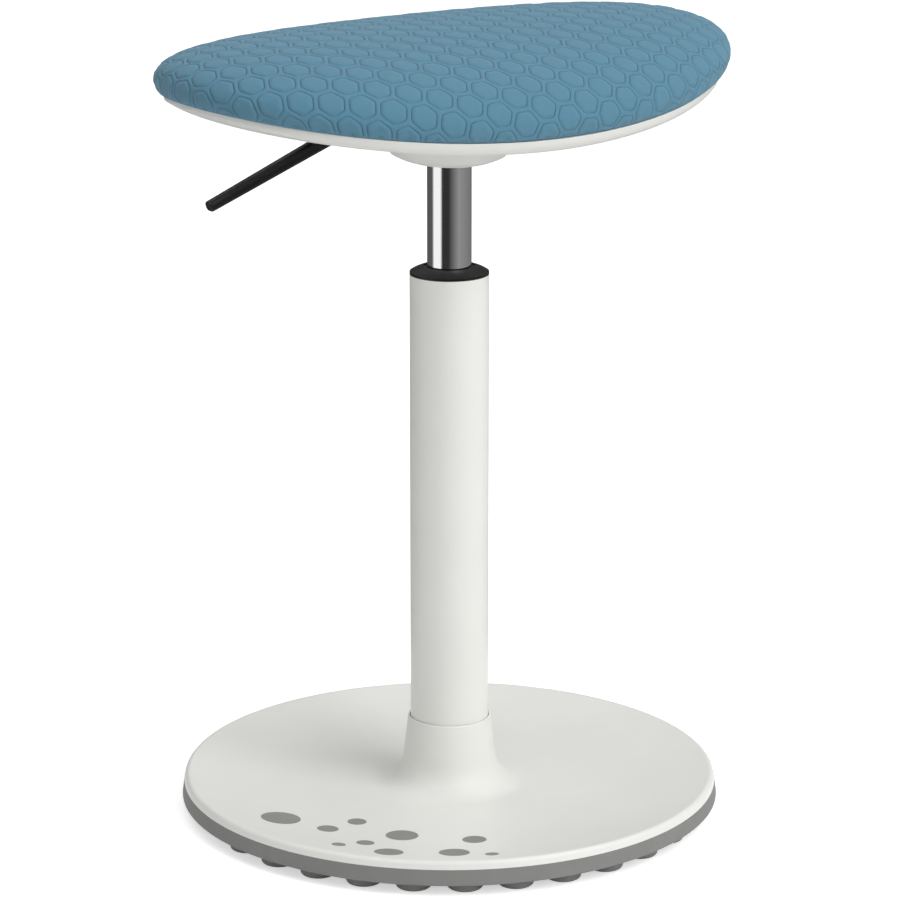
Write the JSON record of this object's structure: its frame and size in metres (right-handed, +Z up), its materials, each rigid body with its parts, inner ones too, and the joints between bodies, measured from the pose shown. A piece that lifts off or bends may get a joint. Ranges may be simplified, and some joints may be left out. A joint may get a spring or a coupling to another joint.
{
  "type": "sit-stand stool",
  "caption": "Sit-stand stool with a round studded base, a gas-lift column and a wide oval padded seat that swivels, rises and falls, released by a side lever.",
  "frame": {"origin": "on the floor, under the column axis", "axes": "+Z up along the column, the sitter faces -Y, +X towards the sitter's left, the lever on -X"},
  "size_m": [0.401, 0.346, 0.507],
  "materials": {
    "sole_rubber": "matt",
    "dot_rubber": "matt",
    "black_rubber": "matt",
    "bare_steel": "zinc plated",
    "bright_steel": "polished chrome plate",
    "turned_aluminium": "turned",
    "insert_brass": "turned",
    "white_plastic": "fine satin texture",
    "white_paint": "satin powder coat",
    "black_paint": "satin powder coat",
    "black_plastic": "satin",
    "board_wood": "raw moulded ply",
    "foam": "open-cell foam",
    "blue_fabric": "quilted knit in a hexagon pattern"
  },
  "bodies": {
    "base": {"rubber_sole": "sole_rubber", "base_plate": "bare_steel", "base_shell": "white_plastic", "grip_dots": "dot_rubber", "shell_screws": "bare_steel", "column_tube": "white_paint", "column_disc": "bare_steel", "guide_bush": "black_plastic", "lower_race": "bare_steel"},
    "bearing": {"bearing_cage": "black_plastic", "bearing_balls": "bright_steel"},
    "rod": {"piston_rod": "bright_steel", "upper_race": "bare_steel", "rod_clip": "bare_steel", "rod_washer": "bare_steel", "bump_stop": "black_rubber", "piston": "turned_aluminium", "piston_seal": "black_rubber"},
    "seat": {"gas_cylinder": "bright_steel", "rod_gland": "black_plastic", "seat_hub": "black_paint", "seat_plate": "black_paint", "plate_screws": "bare_steel", "thread_inserts": "insert_brass", "lever_bracket": "black_paint", "lever_pin": "bare_steel", "seat_board": "board_wood", "seat_foam": "foam", "seat_cover": "blue_fabric", "seat_pan": "white_plastic", "pan_screws": "bare_steel"},
    "lever": {"lever_arm": "black_paint", "lever_handle": "black_plastic"},
    "valve": {"valve_button": "bare_steel"}
  },
  "joints": [
    {"name": "seat_swivel", "type": "hinge", "parent": "base", "child": "rod", "pos_m": [0, 0, 0.02], "axis": [0, 0, 1], "continuous": true},
    {"name": "bearing_roll", "type": "hinge", "parent": "base", "child": "bearing", "pos_m": [0, 0, 0.02], "axis": [0, 0, 1], "continuous": true},
    {"name": "seat_lift", "type": "slide", "parent": "rod", "child": "seat", "axis": [0, 0, 1], "range_m": [-0.04, 0.2]},
    {"name": "lever_pull", "type": "hinge", "parent": "seat", "child": "lever", "pos_m": [-0.028, 0, 0.4498], "axis": [0, 1, 0], "range_deg": [0, 6], "stiffness_Nm_per_rad": 2},
    {"name": "valve_press", "type": "slide", "parent": "seat", "child": "valve", "axis": [0, 0, -1], "range_m": [0, 0.003]}
  ],
  "couplings": [
    {"joint": "bearing_roll", "follows": "seat_swivel", "ratio": 0.5},
    {"joint": "valve_press", "follows": "lever_pull", "m_per_rad": 0.0285}
  ]
}
